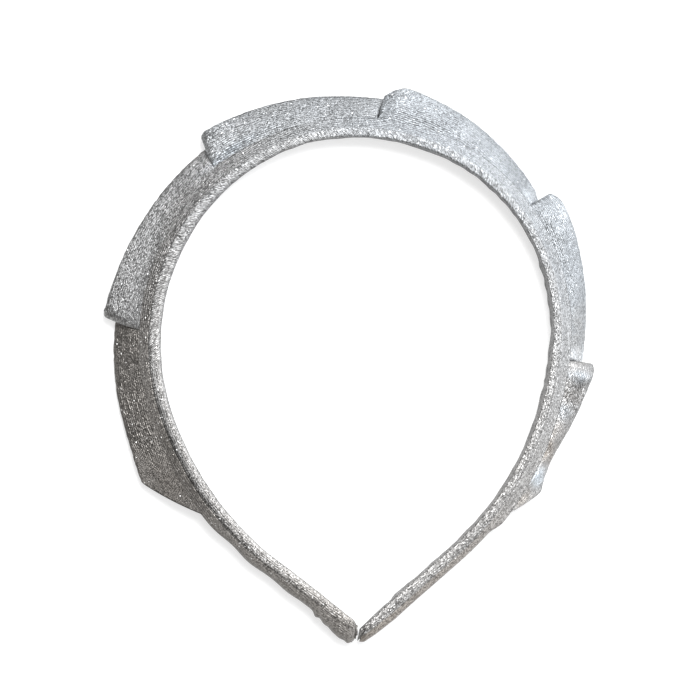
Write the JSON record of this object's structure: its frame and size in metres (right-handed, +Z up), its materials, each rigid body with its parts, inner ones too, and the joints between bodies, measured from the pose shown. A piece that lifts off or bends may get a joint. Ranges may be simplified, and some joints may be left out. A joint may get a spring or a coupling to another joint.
{
  "type": "mini crown headband",
  "caption": "Open head hoop covered in glitter knit, with a low crown of overlapping knife pleats standing out round its outer face.",
  "frame": {"origin": "under the middle of the whole object's box, on the surface that it lies on", "axes": "+Z up from the surface, along the height of the hoop's band; +Y towards the top of the hoop, away from the two tips; +X towards the right arm as seen from above"},
  "size_m": [0.1562, 0.1716, 0.0072],
  "materials": {
    "band_knit": "silver-grey fine knit with metallic thread",
    "lap_knit": "silver-grey fine knit, smooth folded edge",
    "crown_knit": "silver-grey fine knit with metallic thread, doubled"
  },
  "bodies": {
    "root": {"band": "band_knit", "cover_lap": "lap_knit", "crown": "crown_knit"}
  },
  "joints": []
}
